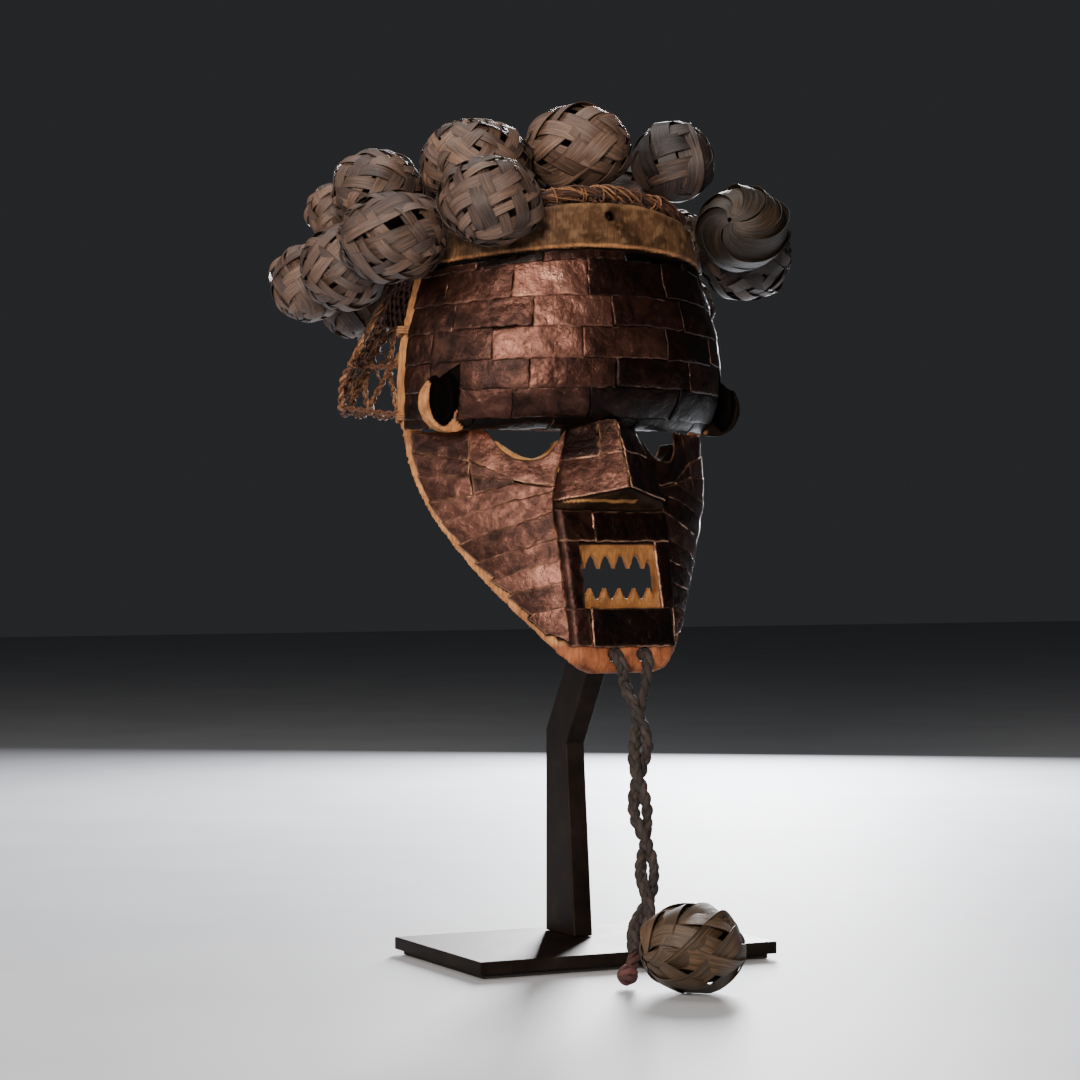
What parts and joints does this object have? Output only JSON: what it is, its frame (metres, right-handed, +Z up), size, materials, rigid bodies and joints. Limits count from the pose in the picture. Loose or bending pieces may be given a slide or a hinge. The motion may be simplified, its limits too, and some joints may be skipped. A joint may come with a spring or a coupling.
{
  "type": "ceremonial mask on a stand",
  "caption": "Carved wooden face mask covered with small copper sheets, with a headdress of plaited balls and a braided beard, on a steel plinth stand.",
  "frame": {"origin": "on the surface that the stand rests on, under the middle of the mask and the post", "axes": "+Z up; the face looks along -Y; X = 0 is the mask's plane of symmetry, with +X on the right as one looks at the face"},
  "size_m": [0.3237, 0.4003, 0.5353],
  "materials": {
    "pad_rubber": "thin dark pad under the plate",
    "stand_steel": "dark brown waxed steel with a weld at the foot",
    "carved_wood": "adzed light wood, oiled and worn, paler along the rim",
    "sheet_copper": "thin hammered copper sheets, browned, with bright worn edges",
    "bast_fibre": "knotted reddish-brown bast fibre",
    "plaited_cane": "plaited strips of grey-brown split cane",
    "braid_fibre": "tightly plaited dark fibre"
  },
  "bodies": {
    "root": {"stand_pad": "pad_rubber", "stand_base": "stand_steel", "stand_post": "stand_steel", "mask_shell": "carved_wood", "copper_forehead": "sheet_copper", "copper_cheek_left": "sheet_copper", "copper_cheek_right": "sheet_copper", "copper_nose": "sheet_copper", "copper_muzzle": "sheet_copper", "headdress_net": "bast_fibre", "headdress_ring": "bast_fibre", "beard_braid_left": "braid_fibre", "beard_braid_right": "braid_fibre", "beard_ball": "plaited_cane", "beard_knot": "braid_fibre", "headdress_ball_01": "plaited_cane", "headdress_ball_02": "plaited_cane", "headdress_ball_03": "plaited_cane", "headdress_ball_04": "plaited_cane", "headdress_ball_05": "plaited_cane", "headdress_ball_06": "plaited_cane", "headdress_ball_07": "plaited_cane", "headdress_ball_08": "plaited_cane", "headdress_ball_09": "plaited_cane", "headdress_ball_10": "plaited_cane", "headdress_ball_11": "plaited_cane", "headdress_ball_12": "plaited_cane", "headdress_ball_13": "plaited_cane", "headdress_ball_14": "plaited_cane", "headdress_ball_15": "plaited_cane", "headdress_ball_16": "plaited_cane", "headdress_ball_17": "plaited_cane", "headdress_ball_18": "plaited_cane", "headdress_ball_19": "plaited_cane", "headdress_ball_20": "plaited_cane", "headdress_ball_21": "plaited_cane", "headdress_ball_22": "plaited_cane", "headdress_ball_23": "plaited_cane"}
  },
  "joints": []
}
